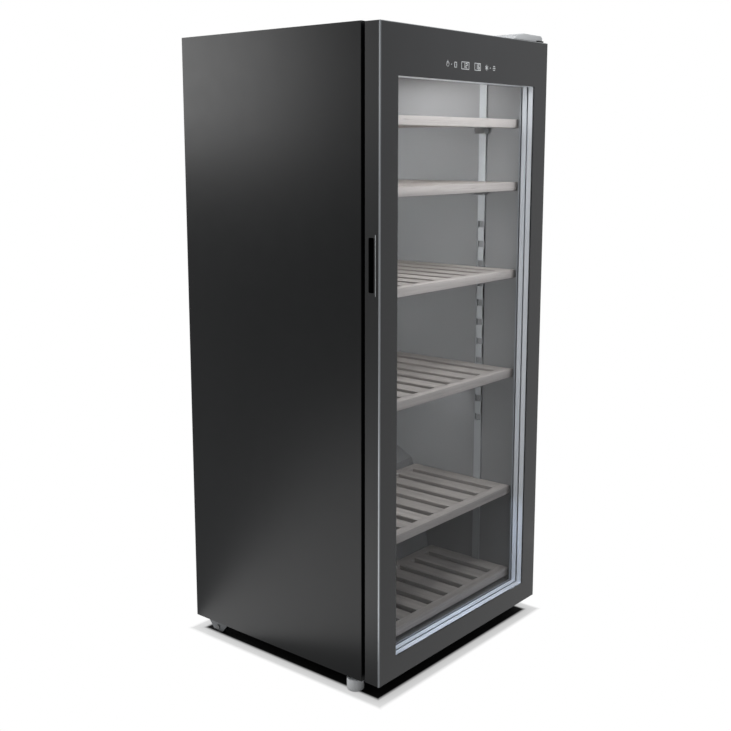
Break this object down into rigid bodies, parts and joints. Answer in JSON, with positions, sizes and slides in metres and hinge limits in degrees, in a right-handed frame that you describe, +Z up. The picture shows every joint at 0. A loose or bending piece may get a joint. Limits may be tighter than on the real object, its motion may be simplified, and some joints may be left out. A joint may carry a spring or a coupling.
{
  "type": "wine cooler",
  "caption": "Tall free-standing wine cooler with a full-face glass door, wooden slatted shelves, ceiling lamp and a compressor bay behind a raised floor.",
  "frame": {"origin": "on the floor under the middle of the cooler's box", "axes": "+Z up, door faces -Y, +X to the right as you face the door"},
  "size_m": [0.595, 0.552, 1.363],
  "materials": {
    "black_steel": "satin",
    "zinc_steel": "satin",
    "compressor_black": "satin",
    "foam": "matte",
    "liner_grey": "satin",
    "strip_grey": "satin",
    "beech": "satin",
    "cover_silver": "satin",
    "foot_grey": "satin",
    "black_plastic": "matte",
    "rubber": "matte",
    "coil_aluminium": "satin",
    "copper": "polished",
    "lamp_white": "satin",
    "clear_glass": "polished",
    "black_print": "gloss",
    "door_frame": "satin",
    "board": "satin"
  },
  "bodies": {
    "cabinet": {"side_panel_left": "black_steel", "side_panel_right": "black_steel", "top_panel": "black_steel", "back_panel": "black_steel", "base_pan": "black_steel", "insulation_foam": "foam", "inner_liner": "liner_grey", "bay_plate": "zinc_steel", "bay_cover": "black_steel", "rear_screws": "zinc_steel", "cord_gland": "black_plastic", "foot_sockets": "black_plastic", "roller_brackets": "black_steel", "roller_axles": "zinc_steel", "hinge_bracket_top": "zinc_steel", "hinge_bracket_bottom": "black_steel", "hinge_screws": "zinc_steel", "hinge_cover": "cover_silver", "shelf_strips_front": "strip_grey", "shelf_strips_rear": "strip_grey", "shelf_clips": "strip_grey", "shelf_1": "beech", "shelf_2": "beech", "shelf_3": "beech", "shelf_4": "beech", "shelf_5": "beech", "shelf_6": "beech", "duct_cover": "liner_grey", "cooling_coil": "coil_aluminium", "fan_motor": "black_plastic", "lamp_housing": "strip_grey", "lamp_cover": "lamp_white", "rubber_mounts": "rubber", "compressor": "compressor_black", "terminal_box": "black_plastic", "condenser": "zinc_steel", "filter_drier": "copper", "refrigerant_pipes": "copper", "drip_tray": "liner_grey", "drain_tube": "liner_grey"},
    "door": {"front_glass": "clear_glass", "glass_print": "black_print", "inner_panes": "clear_glass", "spacer_bars": "coil_aluminium", "glazing_beads": "black_plastic", "door_stile_left": "door_frame", "door_stile_right": "door_frame", "door_rail_top": "door_frame", "door_rail_bottom": "door_frame", "grip_cup": "black_plastic", "hinge_plugs": "black_plastic", "stile_caps": "black_plastic", "door_gasket": "rubber", "display_units": "board", "control_board": "board"},
    "fan": {"fan_wheel": "black_plastic"},
    "foot_left": {"front_foot_left": "foot_grey"},
    "foot_right": {"front_foot_right": "foot_grey"},
    "wheel_left": {"roller_left": "black_plastic"},
    "wheel_right": {"roller_right": "black_plastic"}
  },
  "joints": [
    {"name": "door_hinge", "type": "hinge", "parent": "cabinet", "child": "door", "pos_m": [0.2815, -0.2551, 0.036], "axis": [0, 0, 1], "range_deg": [0, 120]},
    {"name": "fan_spin", "type": "hinge", "parent": "cabinet", "child": "fan", "pos_m": [0, 0.1701, 1.043], "axis": [0, 1, 0], "continuous": true},
    {"name": "foot_left_height", "type": "slide", "parent": "cabinet", "child": "foot_left", "axis": [0, 0, 1], "range_m": [-0.01, 0.003]},
    {"name": "foot_right_height", "type": "slide", "parent": "cabinet", "child": "foot_right", "axis": [0, 0, 1], "range_m": [-0.01, 0.003]},
    {"name": "wheel_left_spin", "type": "hinge", "parent": "cabinet", "child": "wheel_left", "pos_m": [-0.2735, 0.2156, 0.015], "axis": [1, 0, 0], "continuous": true},
    {"name": "wheel_right_spin", "type": "hinge", "parent": "cabinet", "child": "wheel_right", "pos_m": [0.2735, 0.2156, 0.015], "axis": [1, 0, 0], "continuous": true}
  ]
}
